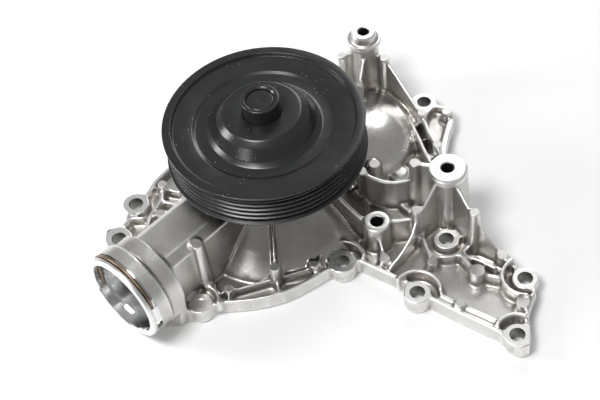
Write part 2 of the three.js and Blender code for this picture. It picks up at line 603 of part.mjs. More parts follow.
function roller(x, y, gap = 0) {
  const half = rollers.length / 2 + gap;
  return disc(x, y, rollerHeight - half, rollerHeight + half, rollerRadius + gap, rollerRadius + gap, 10);
}

// ---- shaft ----
const tailRadius = shaft.tailDiameter / 2;
const tailTop = impeller.bladeTop + 3;
function shaftSolid() {
  const c = shaft.chamfer;
  return turned([[0, shaft.bottom], [tailRadius - c, shaft.bottom], [tailRadius, shaft.bottom + c],
    [tailRadius, tailTop],
    [shaftRadius, tailTop], [shaftRadius, shaft.top - c], [shaftRadius - c, shaft.top], [0, shaft.top]],
    fine)
    .subtract(ballGroove());
}

// ---- face seal ----
const seatBottom = chamber.top + 1.6;
const seatTop = seatBottom + seal.seatHeight;
const carbonBottom = seatTop + fitGap;
const carbonTop = carbonBottom + seal.ringHeight;
const cupFlangeBottom = chamber.throatTop - 1 - faceGap - seal.cupWall;
const cupTop = bearing.bottom - 3;
function seatGasket() {
  const inner = shaftRadius + fitGap;
  return turned([[inner, seatBottom], [inner + 2, seatBottom], [inner + 2, seatTop - 0.8],
    [inner, seatTop - 0.8]], fine);
}
function seatRing() {
  const inner = shaftRadius + 2 + 2 * fitGap;
  return turned([[inner, seatBottom], [seal.seatDiameter / 2, seatBottom],
    [seal.seatDiameter / 2, seatTop - 0.4],
    [seal.seatDiameter / 2 - 0.4, seatTop], [inner, seatTop]], fine);
}
const carbonInner = shaftRadius + 0.9;
function carbonRing() {
  const outer = seal.ringDiameter / 2;
  return turned([[carbonInner, carbonBottom], [carbonInner + 1.3, carbonBottom],
    [carbonInner + 1.3, carbonBottom + 0.5],
    [outer, carbonBottom + 0.9], [outer, carbonTop], [carbonInner, carbonTop]], fine);
}
function sealCup() {
  const w = seal.cupWall;
  const flangeRadius = seal.cupFlange / 2;
  return turned([[cupRadius - w, cupFlangeBottom], [flangeRadius, cupFlangeBottom],
    [flangeRadius, cupFlangeBottom + w],
    [cupRadius, cupFlangeBottom + w], [cupRadius, cupTop], [shaftRadius + 1, cupTop],
    [shaftRadius + 1, cupTop - w],
    [cupRadius - w, cupTop - w]], fine);
}
const bellowsTop = cupTop - seal.cupWall - faceGap;
const bellowsBottom = carbonTop + faceGap;
function sealBellows() {
  const inner = carbonInner + 0.2;
  const wallWidth = 0.9;
  const waves = 2;
  const steps = waves * 4;
  const skin = [];
  for (let i = 0; i <= steps; i += 1) {
    const height = bellowsBottom + ((bellowsTop - bellowsBottom) * i) / steps;
    skin.push([inner + wallWidth + 0.5 - 0.5 * Math.cos((i / steps) * waves * 2 * Math.PI), height]);
  }
  const core = skin.slice().reverse().map(([radius, height]) => [radius - wallWidth, height]);
  return turned([...skin, ...core], 20);
}
const springRadius = carbonInner + 4.1;
function sealSpring() {
  const bottom = bellowsBottom + seal.springWire / 2 + 0.1;
  const rise = bellowsTop - seal.springWire / 2 - 0.1 - bottom;
  class Coil extends THREE.Curve {
    getPoint(t, target = new THREE.Vector3()) {
      const angle = t * seal.springTurns * Math.PI * 2;
      return target.set(springRadius * Math.cos(angle), springRadius * Math.sin(angle), bottom + rise * t);
    }
  }
  const section = new THREE.Shape().absarc(0, 0, seal.springWire / 2, 0, Math.PI * 2);
  return solid(new THREE.ExtrudeGeometry(section, {
    steps: 42, bevelEnabled: false, curveSegments: 2, extrudePath: new Coil(),
  }));
}

// ---- impeller ----
const insertOuter = tailRadius + fitGap + insert.wall;
function impellerInsert() {
  return turned([[tailRadius + fitGap, impeller.bottom - insert.drop], [insertOuter,
    impeller.bottom - insert.drop],
    [insertOuter, impeller.bladeTop + 1 + insert.rise], [tailRadius + fitGap,
    impeller.bladeTop + 1 + insert.rise]], fine);
}
function impellerSolid() {
  const outer = impeller.diameter / 2;
  const plateTop = impeller.bottom + impeller.plate;
  const hubRadius = impeller.hubDiameter / 2;
  const bore = insertOuter + fitGap;
  const plate = turned([[bore, impeller.bottom], [outer - 0.6, impeller.bottom],
    [outer, impeller.bottom + 0.6],
    [outer, plateTop], [hubRadius + 3, plateTop], [hubRadius, plateTop + 4],
    [hubRadius - 0.3, impeller.bladeTop + 1],
    [bore, impeller.bladeTop + 1]], fine);
  const blades = Array.from({ length: impeller.bladeCount }, (_, k) => {
    const start = (k / impeller.bladeCount) * Math.PI * 2;
    const line = Array.from({ length: impeller.bladeSteps + 1 }, (_unused, i) => {
      const share = i / impeller.bladeSteps;
      const radius = hubRadius - 1 + (outer - hubRadius) * share;
      const angle = start - impeller.sweep * share ** 1.2;
      return [radius * Math.cos(angle), radius * Math.sin(angle)];
    });
    return bandWall(line, impeller.bottom + 0.5, impeller.bladeTop, impeller.bladeWall);
  });
  const boreCut = disc(0, 0, 0, 40, bore, bore, fine);
  return join([plate, ...blades]).subtract(boreCut);
}

// ---- pulley ----
function pulleyProfile() {
  const { ridgeRadius, groovePitch, grooveDepth, grooveFlat, sheet } = pulley;
  const outer = pulley.diameter / 2;
  const root = ridgeRadius - grooveDepth;
  const slope = groovePitch / 2 - grooveFlat / 2 - 0.35;
  const rim = [[pulley.lipInner, pulley.top], [outer - 0.4, pulley.top], [outer, pulley.top - 0.4]];
  for (let i = 0; i < pulley.grooveCount; i += 1) {
    const centre = pulley.top - pulley.firstGroove - i * groovePitch;
    const lip = i === 0 ? outer : ridgeRadius;
    rim.push([lip, centre + grooveFlat / 2 + slope], [root, centre + grooveFlat / 2],
      [root, centre - grooveFlat / 2]);
    rim.push([i === pulley.grooveCount - 1 ? outer : ridgeRadius, centre - grooveFlat / 2 - slope]);
  }
  const inner = root - sheet;
  rim.push([outer, pulley.bottom], [inner, pulley.bottom], [inner, pulley.discTop - sheet - 2]);
  const under = [[inner - 1.2, pulley.discTop - sheet - 0.6], [pulley.dishRadius, pulley.dishTop - sheet],
    [pulley.domeFoot + 1.4, pulley.dishTop - sheet], [pulley.domeFoot - 2.2, pulley.dishTop - sheet + 1.6],
    [pulley.domeShoulder - 2.4, pulley.domeTop - sheet - 1.6], [pulley.domeShoulder - 4.5,
    pulley.domeTop - sheet]];
  const bore = pulleyHub.diameter / 2 + fitGap;
  const over = [[bore, pulley.domeTop - sheet], [bore, pulley.domeTop], [pulley.domeShoulder - 2.5,
    pulley.domeTop],
    [pulley.domeShoulder, pulley.domeTop - 1.4], [pulley.domeFoot - 2, pulley.dishTop + 3.4],
    [pulley.domeFoot + 0.2, pulley.dishTop + 0.6], [pulley.domeFoot + 2, pulley.dishTop],
    [pulley.dishRadius, pulley.dishTop], [pulley.discRadius, pulley.discTop],
    [pulley.lipInner - 0.8, pulley.discTop]];
  return [...rim, ...under, ...over];
}
function pulleyHubSolid() {
  const bore = shaftRadius + fitGap;
  const outer = pulleyHub.diameter / 2;
  const foot = pulleyHub.footDiameter / 2;
  const footTop = pulley.domeTop - pulley.sheet - faceGap;
  return turned([[bore, footTop - pulleyHub.footHeight], [foot - 0.5, footTop - pulleyHub.footHeight],
    [foot, footTop - pulleyHub.footHeight + 0.5], [foot, footTop], [outer, footTop],
    [outer, pulleyHub.top - 1],
    [outer - 1, pulleyHub.top], [bore + 1.2, pulleyHub.top], [bore, pulleyHub.top - 1]], fine);
}

// ---- small pieces of the casting ----
function weepPlug() {
  const start = hub.collar / 2 + 2.5;
  return weepRound(start - weep.plugLength, start + 0.6, weep.hole / 2 - fitGap)
    .add(weepRound(start + 0.6, start + 3.2, weep.plugHead / 2));
}

const domeShell = domeSolid(0).intersect(disc(dome.x, dome.y, 0, 60, 90, 90, 12));
const shell = join([flangeBody(), clearanceWalls(), pinSolids(), towerSolids(), ribSolids(), hubShell(),
  domeShell,
  ductSolids()]);
const housing = shell.subtract(housingCuts());

addNode('pump_housing', housing, finishes.castAluminium);
addNode('pulley', turned(pulleyProfile(), fine), finishes.blackCoat);
addNode('pulley_hub', pulleyHubSolid(), finishes.blackCoat);
addNode('drive_shaft', shaftSolid(), finishes.bearingSteel);
addNode('bearing_outer_ring', outerRing(), finishes.bearingSteel);
addNode('bearing_front_seal',
  bearingSeal(bearing.bottom + bearing.length - bearing.sealInset - bearing.sealDepth),
  finishes.blackRubber);
addNode('bearing_rear_seal', bearingSeal(bearing.bottom + bearing.sealInset), finishes.blackRubber);
addNode('ball_cage', cageRing(ballHeight, balls.diameter / 2 + balls.gap + cage.rim,
  around(balls.count, (x, y) => ball(x, y, cage.pocketGap))), finishes.cageNylon);
around(balls.count, (x, y) => ball(x, y)).forEach((body, i) => addNode(`bearing_ball_${i + 1}`, body,
  finishes.bearingSteel));
addNode('roller_cage', cageRing(rollerHeight, rollers.length / 2 + cage.pocketGap + cage.rim,
  around(rollers.count, (x, y) => roller(x, y, cage.pocketGap))), finishes.cageNylon);
around(rollers.count, (x, y) => roller(x, y)).forEach((body, i) => addNode(`bearing_roller_${i + 1}`, body,
  finishes.bearingSteel));
addNode('seal_cup', sealCup(), finishes.brass);
addNode('seal_bellows', sealBellows(), finishes.blackRubber);
addNode('seal_spring', sealSpring(), finishes.bearingSteel);
addNode('seal_carbon_ring', carbonRing(), finishes.carbon);
addNode('seal_seat_ring', seatRing(), finishes.ceramic);
addNode('seal_seat_gasket', seatGasket(), finishes.blackRubber);
addNode('impeller', impellerSolid(), finishes.mouldedPlastic);
addNode('impeller_insert', impellerInsert(), finishes.bearingSteel);
addNode('weep_hole_plug', weepPlug(), finishes.mouldedPlastic);
addNode('hose_retaining_clip', clipSolid(), finishes.springSteel);

// ---- origin at the centre of the base ----
const box = new THREE.Box3().setFromObject(group);
const centre = box.getCenter(new THREE.Vector3());
group.position.set(-centre.x, -centre.y, -box.min.z);

export default group;
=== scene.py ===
# Engine coolant pump: cast housing, black belt pulley, hub cap, hose clip, impeller, seal and bearing.
import bpy
import bmesh
import numpy as np
from math import acos, cos, pi, radians, sin, tau
from mathutils import Matrix, Vector
from mathutils.kdtree import KDTree


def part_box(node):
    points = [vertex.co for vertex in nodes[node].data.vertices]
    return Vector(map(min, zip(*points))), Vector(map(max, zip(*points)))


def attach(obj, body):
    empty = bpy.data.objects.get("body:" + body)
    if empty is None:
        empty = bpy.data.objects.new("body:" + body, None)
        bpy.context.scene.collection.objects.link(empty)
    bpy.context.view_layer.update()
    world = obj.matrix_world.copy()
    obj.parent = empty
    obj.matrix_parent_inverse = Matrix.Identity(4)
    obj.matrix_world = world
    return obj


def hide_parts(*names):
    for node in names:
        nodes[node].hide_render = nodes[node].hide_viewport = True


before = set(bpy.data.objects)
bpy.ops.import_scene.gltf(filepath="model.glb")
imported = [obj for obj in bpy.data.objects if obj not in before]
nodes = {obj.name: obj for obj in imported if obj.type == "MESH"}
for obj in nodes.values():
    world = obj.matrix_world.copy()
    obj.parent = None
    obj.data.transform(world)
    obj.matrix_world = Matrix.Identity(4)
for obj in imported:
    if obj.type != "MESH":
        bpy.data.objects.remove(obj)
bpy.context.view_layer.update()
mm = 0.001
shaftLow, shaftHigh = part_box("drive_shaft")
shaftAt = Vector(((shaftLow.x + shaftHigh.x) / 2, (shaftLow.y + shaftHigh.y) / 2, 0))


def spot(x, y, z):
    # millimetres from the shaft axis and the flange face, as a point in metres
    return shaftAt + Vector((x, y, z)) * mm


def deselectAll():
    if bpy.context.mode != "OBJECT":
        bpy.ops.object.mode_set(mode="OBJECT")
    bpy.ops.object.select_all(action="DESELECT")


def useOnly(piece):
    deselectAll()
    piece.select_set(True)
    bpy.context.view_layer.objects.active = piece


def applyModifiers(piece):
    useOnly(piece)
    for modifier in list(piece.modifiers):
        bpy.ops.object.modifier_apply(modifier=modifier.name)


def settle(piece):
    # puts the place, turn and size into the mesh
    useOnly(piece)
    bpy.ops.object.transform_apply(location=True, rotation=True, scale=True)


# camera, light and floor
view = {"lens": 87.5, "tilt": 39.38, "roll": -8.23, "place": (14.2, -563.2, 698.4)}
cameraData = bpy.data.cameras.new("viewCamera")
cameraData.lens = view["lens"]
cameraData.sensor_width = 36
camera = bpy.data.objects.new("viewCamera", cameraData)
bpy.context.scene.collection.objects.link(camera)
tilt = Matrix.Rotation(radians(view["tilt"]), 4, "X")
roll = Matrix.Rotation(radians(view["roll"]), 4, "Z")
camera.matrix_world = Matrix.Translation(spot(*view["place"])) @ tilt @ roll
bpy.context.scene.camera = camera


def addAreaLight(name, place, target, size, power, colour=(1, 1, 1)):
    deselectAll()
    bpy.ops.object.light_add(type="AREA", location=spot(*place))
    light = bpy.context.object
    light.name = name
    light.data.shape = "RECTANGLE"
    light.data.size, light.data.size_y = size[0] * mm, size[1] * mm
    light.data.energy = power
    light.data.color = colour
    light.rotation_euler = (spot(*target) - light.location).to_track_quat("-Z", "Y").to_euler()
    return light


lamps = {
    "overhead": {"place": (-300, -250, 950), "target": (0, 0, 40), "size": (360, 360), "power": 7},
    "leftWindow": {"place": (-800, 150, 420), "target": (0, 0, 40), "size": (250, 350), "power": 3},
    "neckGlow": {"place": (-640, -640, 240), "target": (-80, -60, 30), "size": (260, 200), "power": 1.1},
    "backSoft": {"place": (330, 760, 800), "target": (70, 20, 20), "size": (300, 260), "power": 1.5},
    "backStrip": {"place": (350, 850, 420), "target": (0, 0, 60), "size": (500, 200), "power": 2},
}
for name, lamp in lamps.items():
    addAreaLight(name, **lamp)

world = bpy.data.worlds.new("studio")
bpy.context.scene.world = world
world.use_nodes = True
world.node_tree.nodes["Background"].inputs["Color"].default_value = (1, 1, 1, 1)
world.node_tree.nodes["Background"].inputs["Strength"].default_value = 0.36
bpy.context.scene.view_settings.view_transform = "Standard"

deselectAll()
bpy.ops.mesh.primitive_plane_add(size=6, location=spot(0, 0, -0.2))
floor = bpy.context.object
floor.name = "studioFloor"
floorPaint = bpy.data.materials.new("floorPaint")
floorPaint.use_nodes = True
floorShader = floorPaint.node_tree.nodes["Principled BSDF"]
floorShader.inputs["Base Color"].default_value = (0.9, 0.9, 0.9, 1)
floorShader.inputs["Roughness"].default_value = 0.9
floorShader.inputs["Specular IOR Level"].default_value = 0.1
floor.data.materials.append(floorPaint)
print("camera, light and floor ready")


class Finish:
    # a material and short ways to add its nodes
    def __init__(self, name, colour, roughness, metallic=0.0):
        self.material = bpy.data.materials.new(name)
        self.material.use_nodes = True
        self.tree = self.material.node_tree
        self.shader = self.tree.nodes["Principled BSDF"]
        self.shader.inputs["Base Color"].default_value = (*colour, 1)
        self.shader.inputs["Roughness"].default_value = roughness
        self.shader.inputs["Metallic"].default_value = metallic
        self.place = self.node("ShaderNodeTexCoord").outputs["Object"]

    def node(self, kind, **settings):
        made = self.tree.nodes.new(kind)
        for key, value in settings.items():
            setattr(made, key, value)
        return made

    def feed(self, socket, value):
        if hasattr(value, "is_linked"):
            self.tree.links.new(value, socket)
        else:
            socket.default_value = value

    def math(self, operation, first, second=0.0, third=None):
        made = self.node("ShaderNodeMath", operation=operation)
        self.feed(made.inputs[0], first)
        self.feed(made.inputs[1], second)
        if third is not None:
            self.feed(made.inputs[2], third)
        return made.outputs[0]

    def noise(self, scale, detail=2.0, roughness=0.5, place=None):
        made = self.node("ShaderNodeTexNoise")
        self.feed(made.inputs["Vector"], place or self.place)
        made.inputs["Scale"].default_value = scale
        made.inputs["Detail"].default_value = detail
        made.inputs["Roughness"].default_value = roughness
        return made.outputs["Fac"]

    def between(self, value, low, high, toLow, toHigh):
        made = self.node("ShaderNodeMapRange")
        self.feed(made.inputs["Value"], value)
        for key, number in (("From Min", low), ("From Max", high), ("To Min", toLow), ("To Max", toHigh)):
            made.inputs[key].default_value = number
        return made.outputs["Result"]

    def blendColours(self, share, first, second):
        made = self.node("ShaderNodeMix", data_type="RGBA")
        self.feed(made.inputs["Factor"], share)
        for socket, colour in ((made.inputs["A"], first), (made.inputs["B"], second)):
            self.feed(socket, (*colour, 1) if isinstance(colour, tuple) else colour)
        return made.outputs["Result"]

    def awayFrom(self, centre, keep=(1, 1, 1)):
        flat = self.node("ShaderNodeVectorMath", operation="MULTIPLY")
        self.feed(flat.inputs[0], self.place)
        flat.inputs[1].default_value = keep
        away = self.node("ShaderNodeVectorMath", operation="DISTANCE")
        self.feed(away.inputs[0], flat.outputs["Vector"])
        away.inputs[1].default_value = tuple(c * k for c, k in zip(centre, keep))
        return away.outputs["Value"]

    def bump(self, height, depth, strength=1.0, under=None):
        made = self.node("ShaderNodeBump")
        self.feed(made.inputs["Height"], height)
        made.inputs["Distance"].default_value = depth * mm
        made.inputs["Strength"].default_value = strength
        if under is not None:
            self.tree.links.new(under, made.inputs["Normal"])
        return made.outputs["Normal"]

    def link(self, value, name):
        self.tree.links.new(value, self.shader.inputs[name])


def castSkin():
    # the darkest warm colour is painted shade for hollows; the dark brown one is a painted reflection on the
    # hub's cone
    look = {"light": (0.67, 0.66, 0.645), "dark": (0.55, 0.535, 0.51), "bright": (0.88, 0.875, 0.86),
            "paintedCornerShade": (0.24, 0.205, 0.175), "smoothFrom": 0.038, "smoothTo": 0.026,
            "coatFilmAndPaintedReflection": (0.27, 0.255, 0.235), "hubConeFrom": 0.058, "hubConeTo": 0.046}
    f = Finish("castAluminium", look["light"], 0.42, 1.0)
    cloud = f.noise(38, 4, 0.6)
    fleck = f.noise(900, 3, 0.65)
    colour = f.blendColours(f.between(cloud, 0.3, 0.75, 0, 1), look["dark"], look["light"])
    colour = f.blendColours(f.between(fleck, 0.45, 0.75, 0, 0.3), colour, look["bright"])
    curvature = f.node("ShaderNodeAttribute", attribute_name="edgeWearAndCornerShade").outputs["Fac"]
    colour = f.blendColours(f.between(curvature, 0.05, 0.5, 0, 0.75), colour, look["bright"])
    # painted shade: concave corners and hollows are darkened towards a warm dark brown; the convex edges
    # above are brightened as edge wear
    paintedCornerShade = f.between(curvature, -0.45, -0.05, 0.55, 0)
    colour = f.blendColours(paintedCornerShade, colour, look["paintedCornerShade"])
    # the dome and the hub's cone come off a smoother face of the die; the cone's brown-black tint is a
    # painted reflection of the dark pulley above it
    nearDome = f.between(f.awayFrom(spot(60, 46, 14)), look["smoothTo"], look["smoothFrom"], 1, 0)
    nearHub = f.between(f.awayFrom(spot(0, 0, 0), (1, 1, 0)), look["hubConeTo"], look["hubConeFrom"], 1, 0)
    smooth = f.math("MAXIMUM", nearDome, nearHub)
    # painted reflection: near the hub the cast skin is blended towards a dark brown, in place of the pulley
    # mirrored there
    coatFilmAndPaintedReflection = f.math("MULTIPLY", nearHub, f.between(f.noise(55, 3, 0.6), 0.3, 0.7, 0.6, 0.95))
    colour = f.blendColours(coatFilmAndPaintedReflection, colour, look["coatFilmAndPaintedReflection"])
    f.link(colour, "Base Color")
    rough = f.between(f.noise(110, 3, 0.6), 0.3, 0.75, 0.34, 0.43)
    f.link(f.math("SUBTRACT", rough, f.math("MULTIPLY", smooth, 0.17)), "Roughness")
    grain = f.bump(f.noise(1500, 2, 0.6), 0.1, 0.3)
    f.link(f.bump(f.noise(180, 2, 0.5), 0.2, 0.16, grain), "Normal")
    return f.material


def turnedSkin(name, colour, roughness, centres, pitch):
    # fine turning marks round each of several centres
    f = Finish(name, colour, roughness, 1.0)
    nearest = None
    for centre in centres:
        away = f.awayFrom(centre, (1, 1, 0))
        nearest = away if nearest is None else f.math("MINIMUM", nearest, away)
    marks = f.math("SINE", f.math("MULTIPLY", nearest, tau / (pitch * mm)))
    scuff = f.noise(420, 3, 0.6)
    worn = tuple(c * 0.8 for c in colour)
    f.link(f.blendColours(f.between(scuff, 0.4, 0.7, 0, 0.6), colour, worn), "Base Color")
    f.link(f.between(scuff, 0.3, 0.8, roughness - 0.06, roughness + 0.1), "Roughness")
    f.link(f.bump(f.math("MULTIPLY", marks, scuff), 0.02, 0.5), "Normal")
    return f.material


def boredSkin():
    # the neck's bore: fine feed marks along its axis
    f = Finish("boredAluminium", (0.78, 0.78, 0.77), 0.24, 1.0)
    along = f.node("ShaderNodeVectorMath", operation="DOT_PRODUCT")
    f.feed(along.inputs[0], f.place)
    along.inputs[1].default_value = (cos(neckShape["heading"]), sin(neckShape["heading"]), 0)
    marks = f.math("SINE", f.math("MULTIPLY", along.outputs["Value"], tau / (0.55 * mm)))
    smear = f.noise(70, 3, 0.6)
    clean, dull = (0.88, 0.88, 0.88), (0.72, 0.73, 0.74)
    f.link(f.blendColours(f.between(smear, 0.4, 0.65, 0, 1), clean, dull), "Base Color")
    f.link(f.between(smear, 0.3, 0.7, 0.1, 0.22), "Roughness")
    f.link(f.bump(f.math("MULTIPLY", marks, f.noise(300, 2)), 0.02, 0.6), "Normal")
    return f.material


def blackCoat(name="blackCoat"):
    f = Finish(name, (0.012, 0.0125, 0.013), 0.24)
    f.shader.inputs["IOR"].default_value = 1.55
    dust = f.node("ShaderNodeTexVoronoi", feature="F1")
    f.feed(dust.inputs["Vector"], f.place)
    dust.inputs["Scale"].default_value = 330
    chosen = f.math("GREATER_THAN", f.noise(45, 3), 0.57)
    speck = f.math("MULTIPLY", f.math("LESS_THAN", dust.outputs["Distance"], 0.09), chosen)
    coat, dirt = (0.012, 0.0125, 0.013), (0.5, 0.49, 0.47)
    f.link(f.blendColours(f.math("MULTIPLY", speck, 0.5), coat, dirt), "Base Color")
    coatFilmAndPaintedReflection = f.noise(60, 4, 0.6)
    f.link(f.math("ADD", f.between(coatFilmAndPaintedReflection, 0.3, 0.75, 0.19, 0.33), f.math("MULTIPLY", speck, 0.4)), "Roughness")
    f.link(f.bump(f.noise(260, 2), 0.05, 0.25), "Normal")
    return f.material


def grainedMetal(name, colour, roughness, streak=700):
    f = Finish(name, colour, roughness, 1.0)
    grain = f.noise(streak, 3, 0.6)
    dull = tuple(c * 0.78 for c in colour)
    f.link(f.blendColours(f.between(f.noise(90, 3), 0.35, 0.7, 0, 1), dull, colour), "Base Color")
    f.link(f.between(grain, 0.3, 0.75, roughness - 0.05, roughness + 0.12), "Roughness")
    f.link(f.bump(grain, 0.02, 0.3), "Normal")
    return f.material


def mouldedSkin(name, colour, roughness, grainSize=0.35, depth=0.03):
    f = Finish(name, colour, roughness)
    grain = f.noise(1 / (grainSize * mm), 3, 0.6)
    pale = tuple(c * 1.5 for c in colour)
    f.link(f.blendColours(f.between(f.noise(120, 2), 0.35, 0.7, 0, 0.6), colour, pale), "Base Color")
    f.link(f.between(grain, 0.3, 0.75, roughness - 0.06, roughness + 0.1), "Roughness")
    f.link(f.bump(grain, depth, 0.5), "Normal")
    return f.material


def startOutline(name, first):
    # one vertex, ready to be pulled along a profile
    deselectAll()
    bpy.ops.mesh.primitive_plane_add(size=0.001, location=first)
    piece = bpy.context.object
    piece.name = name
    settle(piece)
    bpy.ops.object.mode_set(mode="EDIT")
    bpy.ops.mesh.select_all(action="SELECT")
    bpy.ops.mesh.merge(type="CENTER")
    return piece


def rounded(profile, radius, steps=4):
    # each corner of a closed profile becomes a small arc
    points = []
    count = len(profile)
    for i, corner in enumerate(profile):
        at = Vector(corner[:2])
        before = Vector(profile[i - 1][:2]) - at
        after = Vector(profile[(i + 1) % count][:2]) - at
        size = corner[2] if len(corner) > 2 else radius
        room = min(before.length, after.length) * 0.45
        turn = before.angle(after)
        if size <= 0 or turn > radians(172):
            points.append(tuple(at))
            continue
        reach = min(size / max(0.05, (sin(turn / 2) / cos(turn / 2))), room)
        start, end = at + before.normalized() * reach, at + after.normalized() * reach
        for k in range(steps + 1):
            t = k / steps
            points.append(tuple(start * (1 - t) ** 2 + at * 2 * t * (1 - t) + end * t ** 2))
    return points


def turnedPiece(name, profile, steps=160, centre=(0, 0), smoothAngle=40):
    # a closed profile of (radius, height) in millimetres, spun round an upright axis
    first = spot(centre[0] + profile[0][0], centre[1], profile[0][1])
    piece = startOutline(name, first)
    ring = list(profile[1:]) + [profile[0]]
    at = profile[0]
    for point in ring:
        bpy.ops.mesh.extrude_region_move(TRANSFORM_OT_translate={"value": ((point[0] - at[0]) * mm, 0,
                                                                            (point[1] - at[1]) * mm)})
        at = point
    bpy.ops.mesh.select_all(action="SELECT")
    bpy.ops.mesh.remove_doubles(threshold=1e-6)
    bpy.ops.mesh.spin(steps=steps, angle=tau, center=spot(centre[0], centre[1], 0), axis=(0, 0, 1))
    bpy.ops.mesh.select_all(action="SELECT")
    bpy.ops.mesh.remove_doubles(threshold=2e-6)
    bpy.ops.mesh.normals_make_consistent(inside=False)
    bpy.ops.object.mode_set(mode="OBJECT")
    bpy.ops.object.shade_smooth_by_angle(angle=radians(smoothAngle))
    return piece


def copyOfNode(name, node):
    # a merged copy of a frame solid, to be worked on
    piece = bpy.data.objects.new(name, nodes[node].data.copy())
    bpy.context.scene.collection.objects.link(piece)
    piece.data.materials.clear()
    useOnly(piece)
    bpy.ops.object.mode_set(mode="EDIT")
    bpy.ops.mesh.select_all(action="SELECT")
    bpy.ops.mesh.remove_doubles(threshold=1e-6)
    bpy.ops.object.mode_set(mode="OBJECT")
    return piece


def addDisc(x, y, low, high, radius, sides=64, topRadius=None):
    deselectAll()
    bpy.ops.mesh.primitive_cone_add(vertices=sides, radius1=radius * mm, radius2=(topRadius or radius) * mm,
                                    depth=(high - low) * mm, location=spot(x, y, (low + high) / 2))
    piece = bpy.context.object
    settle(piece)
    return piece


def combine(piece, other, operation):
    work = piece.modifiers.new("work", "BOOLEAN")
    work.operation = operation
    work.solver = "MANIFOLD"
    work.object = other
    applyModifiers(piece)
    bpy.data.objects.remove(other)


def cutAway(piece, cutter):
    combine(piece, cutter, "DIFFERENCE")


def merge(piece, added):
    combine(piece, added, "UNION")


def joined(pieces):
    deselectAll()
    for piece in pieces:
        piece.select_set(True)
    bpy.context.view_layer.objects.active = pieces[0]
    bpy.ops.object.join()
    return pieces[0]


def dress(piece, body, slot, *stoodFor):
    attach(piece, body)
    if stoodFor:
        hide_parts(*stoodFor)
    return piece


# the housing, in millimetres from the shaft axis and the flange face
neckShape = {
    "heading": radians(39.5), "offset": 8.6, "height": 29,
    # along the axis, from the shaft
    "front": 115.8, "boreDepth": 22, "passageEnd": 24, "barrelEnd": 101, "bodyEnd": 89.4, "rimFacing": 0.25,
    # diameters
    "bore": 47.4, "passage": 29, "rim": 55.6, "body": 51.6,
    "rimWidth": 2.6, "grooveWidth": 3.8, "grooveDepth": 2.2, "grooveRise": 9,
    # the pocket in the mouth, its sides in degrees
    "reliefRadius": 26.8, "reliefDepth": 7, "reliefFrom": 268, "reliefTo": 334,
    # the slots that the clip's legs pass through
    "slot": {"side": 22.8, "from": 109.7, "to": 112.9, "low": 17, "high": 47.5, "half": 1.6},
}
housingShape = {
    "voxel": 0.6, "quickVoxel": 1.2, "fillet": 0.9, "inset": 0.12, "smoothing": 3, "faces": 165000,
    "base": 0.16, "foot": 4, "bossTop": 10.5, "seatHeight": 10.3, "seatMargin": 0.5, "boltHole": 9,
    "pinDraft": 0.022, "pinFacing": 0.4, "pinMargin": 0.45,
    # bolt seats: x, y, diameter of the boss
    "seats": [(-86.4, 17.4, 17), (-97.8, -7.9, 17), (33.5, -49.2, 17), (73.4, -78.8, 16.4),
              (123.7, -117.1, 15.6), (136.0, -79.8, 15.8), (101.6, 67.3, 16.6), (96.5, -43.6, 15.7),
              (-40, 62, 17), (22, 79, 17)],
    # the seat without a hole: x, y, diameters of the boss and of the dimple
    "blindSeat": (-51.6, -64.5, 14.5, 6.6), "dimpleDepth": 0.8,
    # tall bosses: x, y, top, screw hole, flat at the top, profile of radius and height
    "towers": [
        (68.5, 91.7, 56.34, 7, 6.2, [(9.8, 4.5), (8.95, 45.4), (10.84, 47.2), (10.84, 49.9), (10.3, 50.9),
                                     (8.15, 51.2), (7.75, 55.2), (6.9, 56.4)]),
        (101, -25, 52.94, 7.5, 10.3, [(8.4, 4.5), (6.85, 44), (9.05, 45.5), (11.05, 47.5), (11.05, 50.8),
                                      (10.35, 51.3), (10.35, 53)]),
        (57, -34.5, 24.94, 7.8, 8.1, [(8.9, 4.5), (8.05, 25)]),
    ],
    # cast pins: x, y, top, diameter
    "pins": [(-47.5, -50, 48, 7.4), (-68.8, 26, 16, 6.2), (-71.2, 3.2, 16, 6.2), (58.3, -52.9, 13, 6.7),
             (80.7, -35.4, 32, 6.7), (112, -51, 41.5, 6.5), (126, -63, 14, 7), (85.4, -60, 12.5, 6.5),
             (109.5, -72.5, 15, 9.3), (130.9, -96.7, 12, 7.8), (96.2, -91.9, 13, 6.2), (-34.4, -59.2, 14, 6),
             (-6, -54.6, 22, 6.6), (16.7, -50.9, 14.5, 5.7), (84.2, -9, 43, 7), (53, 1.4, 30, 7),
             (62.4, 14, 20, 7.5),
             (53.5, 91.4, 39, 6), (79.7, 81, 42, 6.7), (61.3, 67.7, 35, 5.5), (97, 44.8, 26, 6.2),
             (101.9, 17.4, 26, 6.2), (113.8, 53.6, 14, 6.5)],
    "hub": [(55, 4.2), (55, 6.5), (43, 20), (31, 31.5), (28, 42), (21.8, 56), (21, 77.3)], "hubWall": 2,
    "dome": {"x": 58.5, "y": 48, "z": 6, "length": 39, "width": 36.5, "rise": 18, "turn": 66, "wall": 2},
}


def neckAxis():
    heading = neckShape["heading"]
    inward = Vector((cos(heading), sin(heading), 0))
    across = Vector((-inward.y, inward.x, 0))
    return inward, across


def neckSpot(distance, side, height):
    # a point at a distance from the shaft along the neck, aside from its axis, at a height
    inward, across = neckAxis()
    return spot(0, 0, height) + (across * (neckShape["offset"] + side) - inward * distance) * mm


def neckDisc(start, end, radius, sides=128):
    # a round along the neck's axis between two distances from the shaft
    deselectAll()
    bpy.ops.mesh.primitive_cylinder_add(vertices=sides, radius=radius * mm, depth=(end - start) * mm,
                                        location=neckSpot((start + end) / 2, 0, neckShape["height"]),
                                        rotation=(pi / 2, 0, neckShape["heading"] - pi / 2))
    piece = bpy.context.object
    settle(piece)
    return piece


def hubSkin():
    outer = housingShape["hub"]
    drop = [0] + [1] * (len(outer) - 2) + [0]
    inner = [(radius - housingShape["hubWall"], height - down) for (radius, height), down in zip(outer, drop)]
    return turnedPiece("hubSkin", outer + inner[::-1], 128)


